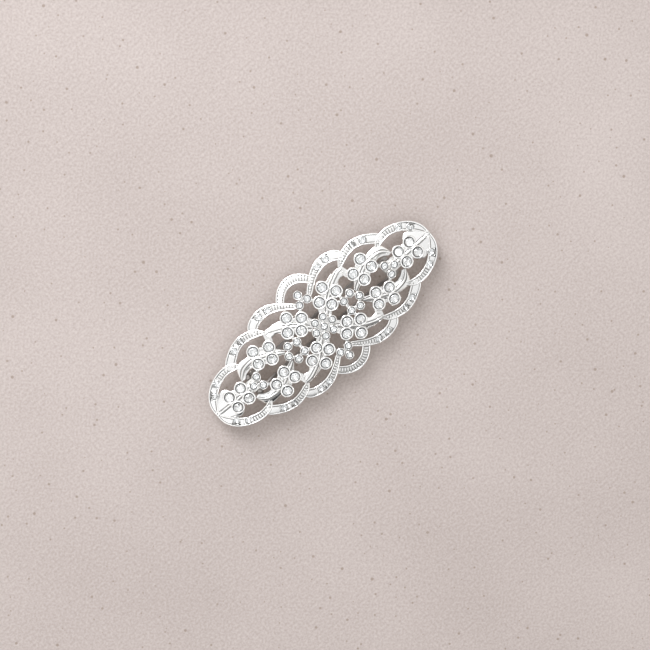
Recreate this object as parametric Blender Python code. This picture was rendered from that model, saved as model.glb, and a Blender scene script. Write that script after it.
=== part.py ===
"""Rhinestone hair clip: a domed openwork plate set with glass stones, and a strip bail clasp under it.

The long axis is X, the width is Y and the stones face +Z. The clip stands on its closed bail at Z = 0.
The plan is laid out flat in millimetres, for one quarter of the plate, and bent onto the dome afterwards.
"""

import math

import bmesh
import bpy
from mathutils import Matrix, Vector

MM = 0.001

# Driving dimensions, in millimetres
HALF_LENGTH = 45.0
HALF_WIDTH = 18.8
DOME_DROP_END = 3.6
DOME_DROP_SIDE = 3.9
CROWN_Z = 7.5
PLATE_UNDERSIDE = -0.6

BAND_HALF_THICK = 0.6
BAND_STEP = 0.1
BAND_STEPS_PER_SPAN = 2

BIG_CUP_RADIUS = 1.95
BIG_CUP_MOUTH = 1.74
BIG_CUP_SIDES = 10
SMALL_CUP_RADIUS = 1.38
SMALL_CUP_MOUTH = 1.2
SMALL_CUP_SIDES = 8
CUP_TOP = 1.05
CUP_FLOOR = 0.28

BIG_STONE_RADIUS = 1.42
SMALL_STONE_RADIUS = 0.92
GIRDLE_HEIGHT = 0.95
STONE_SIDES = 8

SEAT_X = 29.4
PIN_Z = 3.55
PIN_RADIUS = 0.5
LEG_INNER = 2.4
LEG_OUTER = 3.6
BAIL_THICK = 0.8
BAIL_FLAT_X = 18.0
CROSSBAR_Z = 3.35
CROSSBAR_INNER_X = 27.4
CROSSBAR_OUTER_X = 29.3
EYE_RADIUS = 1.25
BORE_RADIUS = 0.62
FOOT_HALF_WIDTH = 2.1
FOOT_THICK = 0.6
SEAT_GAP = 0.15
EAR_INNER = 1.5
LEAF_HALF_WIDTH = 1.7
LEAF_SPRING_THICK = 0.4
RIVET_X = -2.8
RIVET_Y = 0.85
FIT_GAP = 0.12
ROUND_SIDES = 20

# Plan of one quarter: places of the stone cups
BIG_CUPS = {
    "inner_leaf": [(7.48, 9.55), (3.79, 6.62), (10.16, 5.98), (6.36, 3.68)],
    "outer_leaf": [(22.51, 8.31), (17.71, 6.33), (23.71, 4.43), (19.33, 2.84)],
    "end_leaf": [(33.2, 2.05), (37.82, 2.08)],
}
ROSETTE_CUPS = [(0.0, 0.0), (3.29, 0.0), (1.64, 2.64)]
SMALL_CUPS = [
    (9.84, 1.9), (12.97, 2.63), (14.81, 0.0),
    (29.55, 0.0), (26.95, 1.73),
    (0.0, 12.66), (1.62, 9.95),
]

# Plan of the scalloped bands: centre line and half width at each point
CENTRE_ARCH_HALF = [(0.0, 17.6, 1.55), (1.9, 17.3, 1.55), (3.6, 16.5, 1.5), (5.2, 15.2, 1.45), (6.4, 13.7, 1.35)]
INNER_BAND = [
    (18.6, 13.9, 1.5), (16.0, 15.1, 1.6), (13.2, 15.65, 1.65), (10.2, 15.25, 1.55),
    (7.5, 14.05, 1.3), (5.2, 12.4, 1.15), (3.2, 10.8, 1.0),
]
OUTER_BAND = [
    (31.5, 9.6, 1.5), (29.2, 11.25, 1.55), (26.4, 12.7, 1.55), (23.4, 13.4, 1.5),
    (20.4, 13.1, 1.4), (17.8, 12.1, 1.25), (15.7, 10.7, 1.0),
]
END_BAND_HALF = [
    (44.25, 0.0, 0.7), (43.35, 3.2, 1.3), (41.2, 6.0, 1.55), (38.0, 8.1, 1.5),
    (34.2, 9.15, 1.4), (30.8, 8.7, 1.3), (28.6, 7.3, 1.1),
]

# Plan of the leaves, webs and links
INNER_LEAF = [
    (15.7, 10.6), (14.0, 10.95), (12.3, 10.95), (10.2, 10.4), (7.48, 9.55), (3.79, 6.62),
    (2.0, 5.3), (1.5, 4.2), (1.64, 2.64), (4.3, 1.2), (6.36, 3.68), (10.16, 5.98),
    (11.9, 6.3), (12.4, 7.4), (13.2, 8.2), (14.3, 8.5), (15.6, 8.1),
]
OUTER_LEAF = [
    (31.4, 3.3), (30.3, 5.2), (28.9, 6.7), (27.1, 7.7), (25.1, 8.2), (22.51, 8.31),
    (20.1, 8.0), (17.71, 6.33), (15.9, 3.8), (14.6, 2.4), (15.6, 1.2), (17.2, 2.5),
    (19.33, 2.84), (21.7, 2.45), (23.71, 4.43), (25.7, 4.5), (27.0, 4.8), (28.9, 4.2), (30.2, 3.2),
]
END_LEAF_HALF = [
    (44.6, 0.0), (43.8, 2.0), (41.8, 3.9), (39.8, 4.2), (37.8, 3.4),
    (35.5, 2.9), (33.2, 3.2), (31.3, 1.7), (29.6, 0.8),
]
BRIDGE = [(16.6, 10.9), (15.2, 11.0), (14.9, 9.0), (15.3, 7.2), (16.2, 5.9), (17.7, 6.33), (17.2, 8.6)]
ROSETTE_DISC = [(3.29, 0.0), (1.64, 2.64), (-1.64, 2.64), (-3.29, 0.0), (-1.64, -2.64), (1.64, -2.64)]
TREFOIL_WEB = [(0.0, 12.66), (-1.62, 9.95), (1.62, 9.95)]
LINKS = [
    ((9.84, 1.9), (12.97, 2.63)), ((12.97, 2.63), (14.81, 0.0)), ((9.84, 1.9), (6.36, 3.68)),
    ((9.84, 1.9), (10.16, 5.98)), ((29.55, 0.0), (26.95, 1.73)), ((26.95, 1.73), (23.71, 4.43)),
    ((1.62, 9.95), (3.79, 6.62)),
]
RING_CLOSER = ((9.84, 1.9), (9.84, -1.9))
LINK_HALF_WIDTH = 0.55
LINK_LOW = -0.44
LINK_HIGH = 0.12
LEAF_THICK = 0.72

QUARTERS = [(1, 1), (-1, 1), (-1, -1), (1, -1)]
ENDS = [(1, 1), (-1, 1)]
SIDES = [(1, 1), (1, -1)]


def clear_scene():
    for old in list(bpy.data.objects):
        bpy.data.objects.remove(old, do_unlink=True)


def new_collection(name):
    made = bpy.data.collections.new(name)
    bpy.context.scene.collection.children.link(made)
    return made


def new_material(name, colour, metallic, roughness, transmission=0.0):
    made = bpy.data.materials.new(name)
    made.use_nodes = True
    shader = made.node_tree.nodes["Principled BSDF"]
    shader.inputs["Base Color"].default_value = (*colour, 1.0)
    shader.inputs["Metallic"].default_value = metallic
    shader.inputs["Roughness"].default_value = roughness
    shader.inputs["Transmission Weight"].default_value = transmission
    return made


def dome_z(x, y):
    """Height of the plate's middle surface over a plan point."""
    along = DOME_DROP_END * (x / HALF_LENGTH) ** 2
    across = DOME_DROP_SIDE * (y / HALF_WIDTH) ** 2
    return CROWN_Z - along - across


def dome_normal(x, y):
    slope_x = 2 * DOME_DROP_END * x / HALF_LENGTH ** 2
    slope_y = 2 * DOME_DROP_SIDE * y / HALF_WIDTH ** 2
    return Vector((slope_x, slope_y, 1.0)).normalized()


def on_dome(x, y, height):
    """A plan point at a height over the middle surface, bent onto the dome."""
    return Vector((x, y, dome_z(x, y))) + height * dome_normal(x, y)


def mirrored(points, sign_x, sign_y):
    return [(sign_x * x, sign_y * y) for x, y in points]


def smooth_line(points, steps):
    """Catmull-Rom curve through points of any size."""
    rows = [Vector(p) for p in points]
    rows = [2 * rows[0] - rows[1]] + rows + [2 * rows[-1] - rows[-2]]
    line = []
    for a, b, c, d in zip(rows, rows[1:], rows[2:], rows[3:]):
        for step in range(steps):
            t = step / steps
            line.append(0.5 * (2 * b + (c - a) * t + (2 * a - 5 * b + 4 * c - d) * t ** 2
                               + (3 * b - a - 3 * c + d) * t ** 3))
    line.append(rows[-2])
    return line


def ribbon(points, steps):
    """Closed outline of a band, from its centre line and half widths."""
    line = smooth_line(points, steps)
    left = []
    right = []
    for index, row in enumerate(line):
        before = line[max(index - 1, 0)]
        after = line[min(index + 1, len(line) - 1)]
        along = Vector((after.x - before.x, after.y - before.y)).normalized()
        across = Vector((-along.y, along.x)) * row.z
        left.append((row.x + across.x, row.y + across.y))
        right.append((row.x - across.x, row.y - across.y))
    return left + right[::-1]


def across_axis(half, flip):
    """Joins a half line, whose first point is on the mirror line, to its own mirror image."""
    reflected = [(flip[0] * p[0], flip[1] * p[1], *p[2:]) for p in half[:0:-1]]
    return reflected + list(half)


def mesh_object(name, shape, collection, material=None):
    made = bpy.data.objects.new(name, shape)
    collection.objects.link(made)
    if material:
        shape.materials.append(material)
    return made


def curve_to_mesh(curve_object, collection):
    """Turns a curve object into a welded mesh object with its place applied."""
    bpy.context.view_layer.update()
    graph = bpy.context.evaluated_depsgraph_get()
    shape = bpy.data.meshes.new_from_object(curve_object.evaluated_get(graph))
    work = bmesh.new()
    work.from_mesh(shape)
    bmesh.ops.remove_doubles(work, verts=work.verts, dist=1e-7)
    bmesh.ops.transform(work, matrix=curve_object.matrix_world, verts=work.verts)
    bmesh.ops.recalc_face_normals(work, faces=work.faces)
    work.to_mesh(shape)
    work.free()
    name = curve_object.name
    bpy.data.objects.remove(curve_object, do_unlink=True)
    made = bpy.data.objects.new(name, shape)
    collection.objects.link(made)
    return made


def slab(name, outline, low, high, collection, turn=None):
    """A flat outline given in millimetres, as a solid between two heights."""
    data = bpy.data.curves.new(name, "CURVE")
    data.dimensions = "2D"
    data.fill_mode = "BOTH"
    data.extrude = (high - low) / 2 * MM
    line = data.splines.new("POLY")
    line.points.add(len(outline) - 1)
    for point, (x, y) in zip(line.points, outline):
        point.co = (x * MM, y * MM, 0.0, 1.0)
    line.use_cyclic_u = True
    made = bpy.data.objects.new(name, data)
    collection.objects.link(made)
    made.matrix_world = Matrix.Translation((0, 0, (low + high) / 2 * MM))
    if turn:
        made.matrix_world = turn @ made.matrix_world
    return curve_to_mesh(made, collection)


def turned(name, profile, sides, collection):
    """A turned solid from (radius, height) points in millimetres that start and end on the axis."""
    work = bmesh.new()
    corners = [work.verts.new((radius * MM, 0.0, height * MM)) for radius, height in profile]
    edges = [work.edges.new(pair) for pair in zip(corners, corners[1:])]
    bmesh.ops.spin(
        work, geom=corners + edges, cent=(0, 0, 0), axis=(0, 0, 1),
        angle=2 * math.pi, steps=sides, use_merge=True)
    bmesh.ops.remove_doubles(work, verts=work.verts, dist=1e-7)
    bmesh.ops.recalc_face_normals(work, faces=work.faces)
    shape = bpy.data.meshes.new(name)
    work.to_mesh(shape)
    work.free()
    return mesh_object(name, shape, collection)


def place(made, x, y):
    """Moves a plan piece's mesh to its place on the flat plan."""
    made.data.transform(Matrix.Translation((x * MM, y * MM, 0.0)))
    return made


def cup_profile(radius, mouth, dished):
    """Profile of a stone cup, bottom to top; a plain boss where the stone is not a piece of its own."""
    foot = PLATE_UNDERSIDE + 0.04
    wall = [(0.0, foot), (radius, foot), (radius, CUP_TOP)]
    if not dished:
        return wall + [(0.0, CUP_TOP)]
    return wall + [(mouth, CUP_TOP), (mouth - 0.05, CUP_TOP - 0.4), (mouth * 0.7, CUP_FLOOR), (0.0, CUP_FLOOR)]


def plan_pieces(cutters):
    """Every piece of the plate, laid flat, each at its own level so that no faces coincide."""
    pieces = []
    centre_arch = across_axis(CENTRE_ARCH_HALF, (-1, 1))
    end_band = across_axis(END_BAND_HALF, (1, -1))
    end_leaf = across_axis(END_LEAF_HALF, (1, -1))
    layouts = [
        ("centre_arch", ribbon(centre_arch, BAND_STEPS_PER_SPAN), [(1, 1), (1, -1)], 0),
        ("inner_band", ribbon(INNER_BAND, BAND_STEPS_PER_SPAN), QUARTERS, 1),
        ("outer_band", ribbon(OUTER_BAND, BAND_STEPS_PER_SPAN), QUARTERS, 2),
        ("end_band", ribbon(end_band, BAND_STEPS_PER_SPAN), ENDS, 3),
    ]
    for name, outline, copies, level in layouts:
        low = -BAND_HALF_THICK + 0.03 * level
        high = BAND_HALF_THICK + BAND_STEP * level - 0.15
        for signs in copies:
            pieces.append(slab(name, mirrored(outline, *signs), low, high, cutters))
    leaves = [
        ("inner_leaf", INNER_LEAF, QUARTERS, 0.2), ("outer_leaf", OUTER_LEAF, QUARTERS, 0.17),
        ("end_leaf", end_leaf, ENDS, 0.14), ("bridge", BRIDGE, QUARTERS, 0.11),
        ("rosette_disc", ROSETTE_DISC, [(1, 1)], 0.08), ("trefoil_web", TREFOIL_WEB, SIDES, 0.05),
    ]
    for name, outline, copies, high in leaves:
        for signs in copies:
            pieces.append(slab(name, mirrored(outline, *signs), high - LEAF_THICK, high, cutters))
    for index, (start, end) in enumerate(LINKS):
        for signs in QUARTERS:
            pieces.append(link_piece(start, end, signs, 0.01 * index, cutters))
    for signs in ENDS:
        pieces.append(link_piece(*RING_CLOSER, signs, 0.09, cutters))
    return pieces


def link_piece(start, end, signs, raised, cutters):
    rod = [(*start, LINK_HALF_WIDTH), (*end, LINK_HALF_WIDTH)]
    outline = ribbon(rod, 1)
    return slab("link", mirrored(outline, *signs), LINK_LOW + raised, LINK_HIGH + raised, cutters)


def spread(points, copies):
    """Every mirrored copy of plan points, each place once."""
    places = []
    for signs in copies:
        for x, y in mirrored(points, *signs):
            spot = (round(x, 4) + 0.0, round(y, 4) + 0.0)
            if spot not in places:
                places.append(spot)
    return places


def plate_cups(cutters):
    pieces = []
    big = [p for group in BIG_CUPS.values() for p in group]
    kinds = [
        (spread(big, QUARTERS), BIG_CUP_RADIUS, BIG_CUP_MOUTH, BIG_CUP_SIDES, True),
        (spread(ROSETTE_CUPS, QUARTERS), SMALL_CUP_RADIUS, SMALL_CUP_MOUTH, SMALL_CUP_SIDES, True),
        (spread(SMALL_CUPS, QUARTERS), SMALL_CUP_RADIUS, SMALL_CUP_MOUTH, SMALL_CUP_SIDES, False),
    ]
    for places, radius, mouth, sides, dished in kinds:
        for x, y in places:
            cup = turned("cup", cup_profile(radius, mouth, dished), sides, cutters)
            pieces.append(place(cup, x, y))
    return pieces


def joined_mesh(name, first, others, operation, cutters):
    """The first piece with all the others added to it or cut from it."""
    group = bpy.data.collections.new(name + "_operands")
    cutters.children.link(group)
    for piece in others:
        cutters.objects.unlink(piece)
        group.objects.link(piece)
        piece.hide_render = True
        piece.display_type = "WIRE"
    step = first.modifiers.new("join", "BOOLEAN")
    step.operation = operation
    step.operand_type = "COLLECTION"
    step.collection = group
    step.solver = "EXACT"
    bpy.context.view_layer.update()
    graph = bpy.context.evaluated_depsgraph_get()
    return bpy.data.meshes.new_from_object(first.evaluated_get(graph))


def bend_onto_dome(shape):
    for vertex in shape.vertices:
        x, y, height = vertex.co / MM
        vertex.co = on_dome(x, y, height) * MM


def build_plate(parts, cutters, metal):
    """The cast plate: bands, leaves, webs and cups in one piece, bent onto the dome."""
    pieces = plan_pieces(cutters) + plate_cups(cutters)
    shape = joined_mesh("plate", pieces[0], pieces[1:], "UNION", cutters)
    work = bmesh.new()
    work.from_mesh(shape)
    bmesh.ops.remove_doubles(work, verts=work.verts, dist=0.0005 * MM)
    bmesh.ops.dissolve_limit(
        work, angle_limit=math.radians(1), use_dissolve_boundaries=False, verts=work.verts, edges=work.edges)
    bmesh.ops.triangulate(work, faces=work.faces)
    print("plate triangles", len(work.faces))
    work.to_mesh(shape)
    work.free()
    bend_onto_dome(shape)
    shape.materials.clear()
    plate = mesh_object("filigree_plate", shape, parts, metal)
    plate.data.set_sharp_from_angle(angle=math.radians(35))
    return plate


def stone_shape(name, radius, collection):
    """A foil-backed round stone about its girdle: table, crown, girdle and pavilion."""
    profile = [
        (0.0, -0.5 * radius / BIG_STONE_RADIUS), (0.35 * radius, -0.5 * radius / BIG_STONE_RADIUS),
        (radius, -0.04), (radius, 0.04),
        (0.55 * radius, 0.3 * radius + 0.04), (0.0, 0.3 * radius + 0.04),
    ]
    return turned(name, profile, STONE_SIDES, collection)


def build_stones(parts, glass):
    """One stone in each big cup and in each rosette cup, square to the dome."""
    count = 0
    groups = [(name, points, BIG_STONE_RADIUS) for name, points in BIG_CUPS.items()]
    groups.append(("rosette", ROSETTE_CUPS, SMALL_STONE_RADIUS))
    for name, points, radius in groups:
        first = None
        for number, (x, y) in enumerate(spread(points, QUARTERS), start=1):
            label = f"{name}_stone_{number:02d}"
            if first is None:
                stone = stone_shape(label, radius, parts)
                stone.data.materials.append(glass)
                first = stone
            else:
                stone = mesh_object(label, first.data, parts)
            stone.location = on_dome(x, y, GIRDLE_HEIGHT) * MM
            stone.rotation_euler = Vector((0, 0, 1)).rotation_difference(dome_normal(x, y)).to_euler()
            count += 1
    return count


def drum(name, radius, low, high, collection, axis="Y", x=0.0, y=0.0):
    """A cylinder between two levels along Y or Z, through the point (x, y) across that axis."""
    work = bmesh.new()
    bmesh.ops.create_cone(
        work, cap_ends=True, segments=ROUND_SIDES, radius1=radius * MM, radius2=radius * MM,
        depth=(high - low) * MM)
    middle = (low + high) / 2
    if axis == "Y":
        bmesh.ops.rotate(work, verts=work.verts, matrix=Matrix.Rotation(math.pi / 2, 3, "X"))
        bmesh.ops.translate(work, verts=work.verts, vec=(x * MM, middle * MM, y * MM))
    else:
        bmesh.ops.translate(work, verts=work.verts, vec=(x * MM, y * MM, middle * MM))
    shape = bpy.data.meshes.new(name)
    work.to_mesh(shape)
    work.free()
    return mesh_object(name, shape, collection)


def block(name, low, high, collection):
    """A box between two corners in millimetres."""
    size = Vector(high) - Vector(low)
    work = bmesh.new()
    bmesh.ops.create_cube(work, size=1.0)
    bmesh.ops.scale(work, verts=work.verts, vec=size * MM)
    bmesh.ops.translate(work, verts=work.verts, vec=(Vector(low) + Vector(high)) / 2 * MM)
    shape = bpy.data.meshes.new(name)
    work.to_mesh(shape)
    work.free()
    return mesh_object(name, shape, collection)


def side_slab(name, outline, low, high, collection):
    """An outline in the X-Z plane as a solid between two levels along Y."""
    return slab(name, outline, -high, -low, collection, Matrix.Rotation(math.pi / 2, 4, "X"))


def shape_by(target, operation, operands, cutters):
    """Joins operands to the target, or cuts them from it, one Boolean modifier each."""
    for operand in operands:
        step = target.modifiers.new(operation.lower(), "BOOLEAN")
        step.operation = operation
        step.solver = "EXACT"
        step.object = operand
        operand.hide_render = True
        operand.display_type = "WIRE"
        operand.parent = target.parent


def seat_empty(name, sign, parts):
    """An empty on the clasp axis of one end, turned square to the plate above it."""
    seat = bpy.data.objects.new(name, None)
    parts.objects.link(seat)
    seat.location = (sign * SEAT_X * MM, 0, PIN_Z * MM)
    seat.rotation_euler = Vector((0, 0, 1)).rotation_difference(dome_normal(sign * SEAT_X, 0)).to_euler()
    return seat


def seat_height():
    """Distance from a seat's axis up to the underside of the plate, square to the plate."""
    rise = dome_z(SEAT_X, 0) - PIN_Z
    return rise * dome_normal(SEAT_X, 0).z + PLATE_UNDERSIDE


def finish(made, material, parent=None, location=(0, 0, 0)):
    made.data.materials.clear()
    made.data.materials.append(material)
    made.parent = parent
    made.location = Vector(location) * MM
    made.data.set_sharp_from_angle(angle=math.radians(35))
    return made


def build_hinge_bracket(parts, cutters, metal, seat):
    """A soldered foot with two ears that carry the pin."""
    top = seat_height() - SEAT_GAP
    foot = block("hinge_bracket", (-2.6, -FOOT_HALF_WIDTH, top - FOOT_THICK), (3.0, FOOT_HALF_WIDTH, top), parts)
    finish(foot, metal, seat)
    arc = [(math.cos(a), math.sin(a)) for a in (math.pi * (1 + step / 8) for step in range(9))]
    outline = [(-1.0, top - 0.2)] + arc + [(1.0, top - 0.2)]
    ears = []
    for sign in (-1, 1):
        low, high = sorted((sign * EAR_INNER, sign * (FOOT_HALF_WIDTH - 0.03)))
        ears.append(side_slab("ear", outline, low, high, cutters))
    bore = drum("ear_bore", BORE_RADIUS, -3.0, 3.0, cutters)
    shape_by(foot, "UNION", ears, cutters)
    shape_by(foot, "DIFFERENCE", [bore], cutters)
    return foot


def build_hinge_pin(parts, metal, seat):
    """The pin through both ears and both bail eyes, headed at each end."""
    shank_end = LEG_OUTER + 0.25
    head_end = LEG_OUTER + 0.6
    head = PIN_RADIUS + 0.35
    profile = [
        (0.0, -head_end), (head - 0.12, -head_end), (head, -head_end + 0.12), (head, -shank_end),
        (PIN_RADIUS, -shank_end), (PIN_RADIUS, shank_end), (head, shank_end),
        (head, head_end - 0.12), (head - 0.12, head_end), (0.0, head_end),
    ]
    pin = turned("hinge_pin", profile, ROUND_SIDES, parts)
    pin.data.transform(Matrix.Rotation(math.pi / 2, 4, "X"))
    return finish(pin, metal, seat)


def build_bail(parts, cutters, steel):
    """The stamped spring strip: two legs from the pin eyes, flat along the middle, joined by a crossbar."""
    half = BAIL_THICK / 2
    path = [
        (-28.4, 3.15), (-24.0, 1.9), (-20.2, 0.8), (-BAIL_FLAT_X, half), (1 - BAIL_FLAT_X, half),
        (BAIL_FLAT_X - 1, half), (BAIL_FLAT_X, half), (20.2, 0.85), (24.0, 2.2), (26.2, 3.1),
        (CROSSBAR_INNER_X, CROSSBAR_Z), (CROSSBAR_OUTER_X, CROSSBAR_Z),
    ]
    local = [(x + SEAT_X, z - PIN_Z, half) for x, z in path]
    strip = side_slab("clasp_bail", ribbon(local, 1), -LEG_OUTER, LEG_OUTER, parts)
    finish(strip, steel, None, (-SEAT_X, 0, PIN_Z))
    slot_end = CROSSBAR_INNER_X + SEAT_X
    slot = block("bail_slot", (-5.0, -LEG_INNER, -10.0), (slot_end, LEG_INNER, 10.0), cutters)
    eyes = []
    for sign in (-1, 1):
        low, high = sorted((sign * LEG_INNER, sign * LEG_OUTER))
        eyes.append(drum("eye", EYE_RADIUS, low + 0.02, high - 0.02, cutters))
    bore = drum("eye_bore", BORE_RADIUS, -5.0, 5.0, cutters)
    for cutter in [slot, bore] + eyes:
        cutter.location = strip.location
    shape_by(strip, "DIFFERENCE", [slot], cutters)
    shape_by(strip, "UNION", eyes, cutters)
    shape_by(strip, "DIFFERENCE", [bore], cutters)
    return strip


def build_catch(parts, cutters, metal, steel, seat):
    """The catch: a soldered foot, a riveted leaf under it and the sprung hook that holds the crossbar."""
    top = seat_height() - SEAT_GAP
    under_foot = top - FOOT_THICK - FIT_GAP
    foot = block("catch_bracket", (-3.6, -FOOT_HALF_WIDTH, top - FOOT_THICK), (2.6, FOOT_HALF_WIDTH, top), parts)
    leaf = block(
        "catch_leaf", (-4.0, -LEAF_HALF_WIDTH, under_foot - LEAF_SPRING_THICK),
        (0.35, LEAF_HALF_WIDTH, under_foot), parts)
    finish(foot, metal, seat)
    finish(leaf, steel, seat)
    head_top = under_foot - LEAF_SPRING_THICK - FIT_GAP
    for number, sign in enumerate((-1, 1), start=1):
        y = sign * RIVET_Y
        hole = drum("rivet_hole", 0.47, -1.0, 3.0, cutters, "Z", RIVET_X, y)
        for plate in (foot, leaf):
            shape_by(plate, "DIFFERENCE", [hole], cutters)
        profile = [
            (0.0, head_top - 0.3), (0.45, head_top - 0.3), (0.7, head_top - 0.12), (0.7, head_top),
            (0.35, head_top), (0.35, top - 0.05), (0.0, top - 0.05),
        ]
        rivet = turned(f"catch_rivet_{number}", profile, 12, parts)
        place(rivet, RIVET_X, y)
        finish(rivet, metal, seat)
    outline = [
        (0.55, under_foot), (0.95, under_foot), (0.95, -0.95), (3.2, -1.45), (3.3, -1.83),
        (0.75, -1.35), (-0.2, -1.2), (-0.45, -0.9), (0.55, -0.85),
    ]
    pivot = (0.75, under_foot - LEAF_SPRING_THICK / 2)
    local = [(x - pivot[0], z - pivot[1]) for x, z in outline]
    hook = side_slab("catch_hook", local, -LEAF_HALF_WIDTH, LEAF_HALF_WIDTH, parts)
    finish(hook, steel, seat, (pivot[0], 0, pivot[1]))
    return hook


def main():
    clear_scene()
    parts = new_collection("rhinestone_hair_clip")
    cutters = new_collection("cutters")
    plated = new_material("silver_plate", (0.86, 0.86, 0.85), 1.0, 0.16)
    bracket = new_material("bracket_plate", (0.74, 0.74, 0.73), 1.0, 0.3)
    spring = new_material("spring_steel", (0.62, 0.62, 0.61), 1.0, 0.26)
    crystal = new_material("crystal", (0.96, 0.97, 0.98), 0.0, 0.03, 1.0)
    build_plate(parts, cutters, plated)
    build_stones(parts, crystal)
    hinge_seat = seat_empty("hinge_seat", -1, parts)
    catch_seat = seat_empty("catch_seat", 1, parts)
    build_hinge_bracket(parts, cutters, bracket, hinge_seat)
    build_hinge_pin(parts, spring, hinge_seat)
    build_bail(parts, cutters, spring)
    hook = build_catch(parts, cutters, bracket, spring, catch_seat)
    bpy.context.view_layer.update()
    for piece in cutters.all_objects:
        piece.hide_render = True
        piece.display_type = "WIRE"
    print("hook axis at", [round(v, 6) for v in hook.matrix_world.translation])


main()
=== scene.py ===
# %% [markdown]
# # Rhinestone hair clip
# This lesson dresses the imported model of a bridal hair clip: a domed, silver-plated openwork casting, set
# with round foiled stones, with a strip bail clasp under it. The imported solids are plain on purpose. Here
# each one gets its finished surface, in the same place and at the same size.

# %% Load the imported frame
import math
import random

import bmesh
import bpy
from mathutils import Matrix, Vector


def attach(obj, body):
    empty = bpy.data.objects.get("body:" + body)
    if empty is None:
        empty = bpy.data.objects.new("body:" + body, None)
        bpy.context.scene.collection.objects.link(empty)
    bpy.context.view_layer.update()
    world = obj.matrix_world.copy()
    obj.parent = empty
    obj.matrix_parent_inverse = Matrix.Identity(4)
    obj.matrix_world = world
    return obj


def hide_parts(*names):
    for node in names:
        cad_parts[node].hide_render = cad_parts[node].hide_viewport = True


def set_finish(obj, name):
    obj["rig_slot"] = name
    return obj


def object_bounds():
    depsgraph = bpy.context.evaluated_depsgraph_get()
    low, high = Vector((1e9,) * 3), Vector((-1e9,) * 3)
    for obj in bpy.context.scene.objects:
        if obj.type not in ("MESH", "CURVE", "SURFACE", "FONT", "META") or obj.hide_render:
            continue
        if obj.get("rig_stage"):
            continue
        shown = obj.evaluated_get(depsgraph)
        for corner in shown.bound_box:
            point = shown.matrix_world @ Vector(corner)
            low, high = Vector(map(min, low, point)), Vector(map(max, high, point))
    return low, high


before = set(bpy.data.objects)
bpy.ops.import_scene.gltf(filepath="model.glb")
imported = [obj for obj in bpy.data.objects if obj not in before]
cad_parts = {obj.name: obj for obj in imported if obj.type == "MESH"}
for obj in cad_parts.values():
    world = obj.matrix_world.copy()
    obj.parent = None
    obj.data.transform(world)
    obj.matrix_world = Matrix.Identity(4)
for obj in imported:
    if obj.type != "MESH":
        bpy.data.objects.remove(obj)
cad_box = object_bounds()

MM = 0.001

# %% [markdown]
# ## The dome
# A clip like this is cast flat and then pressed over a block, so it follows the head both ways. It could be
# modelled straight onto a curved surface, but every outline is far easier to draw flat. So all plate pieces
# are made on a flat plan in millimetres, with their height over the middle of the metal as Z, and one
# function bends them at the end.

# %% Bend a flat plan onto the dome
HALF_LENGTH = 45.0
HALF_WIDTH = 18.8
DROP_AT_END = 3.6
DROP_AT_SIDE = 3.9
CROWN_Z = 7.5


def dome_normal(x, y):
    """Direction square to the dome over a plan point, from the slopes of its two curves."""
    slope_x = 2 * DROP_AT_END * x / HALF_LENGTH ** 2
    slope_y = 2 * DROP_AT_SIDE * y / HALF_WIDTH ** 2
    return Vector((slope_x, slope_y, 1.0)).normalized()


def on_dome(x, y, height):
    """A point of the flat plan on the bent metal, at its height over the middle of the metal."""
    middle = CROWN_Z - DROP_AT_END * (x / HALF_LENGTH) ** 2 - DROP_AT_SIDE * (y / HALF_WIDTH) ** 2
    return Vector((x, y, middle)) + height * dome_normal(x, y)


print("the middle stands", CROWN_Z, "mm up; a corner point at", [round(v, 2) for v in on_dome(34.2, 9.15, 0)])

# %% [markdown]
# ## Making a piece from a bmesh
# Each piece carries an attribute called `recess`, from 0 on the high spots to 1 deep in the channels. The
# materials read it later: it paints shade into the colour of the low spots, and it dulls their polish,
# because a polishing wheel reaches the high spots and not the low ones. A mask could be worked out from the
# shape at render time, but a number on each vertex is quick, and it says exactly where the shade is painted.

# %% Helpers that finish a mesh
QUARTERS = [(1, 1), (-1, 1), (-1, -1), (1, -1)]
ENDS = [(1, 1), (-1, 1)]
SIDES = [(1, 1), (1, -1)]
pieces = {}


def new_work():
    """An empty bmesh with the recess layer, so that every vertex made in it starts at 0."""
    work = bmesh.new()
    work.verts.layers.float.new("recess")
    return work


def finish_piece(work, name, body, slot, bend=False, smooth_angle=40):
    """Closes a bmesh into an object that rides on a body; a plan piece is bent onto the dome first."""
    bmesh.ops.recalc_face_normals(work, faces=work.faces)
    for vert in work.verts:
        vert.co = (on_dome(*vert.co) if bend else vert.co) * MM
    shape = bpy.data.meshes.new(name)
    work.to_mesh(shape)
    work.free()
    shape.shade_smooth()
    shape.set_sharp_from_angle(angle=math.radians(smooth_angle))
    piece = bpy.data.objects.new(name, shape)
    bpy.context.scene.collection.objects.link(piece)
    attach(piece, body)
    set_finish(piece, slot)
    pieces[name] = piece
    print(name, "has", sum(len(face.vertices) - 2 for face in shape.polygons), "triangles")
    return piece


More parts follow.
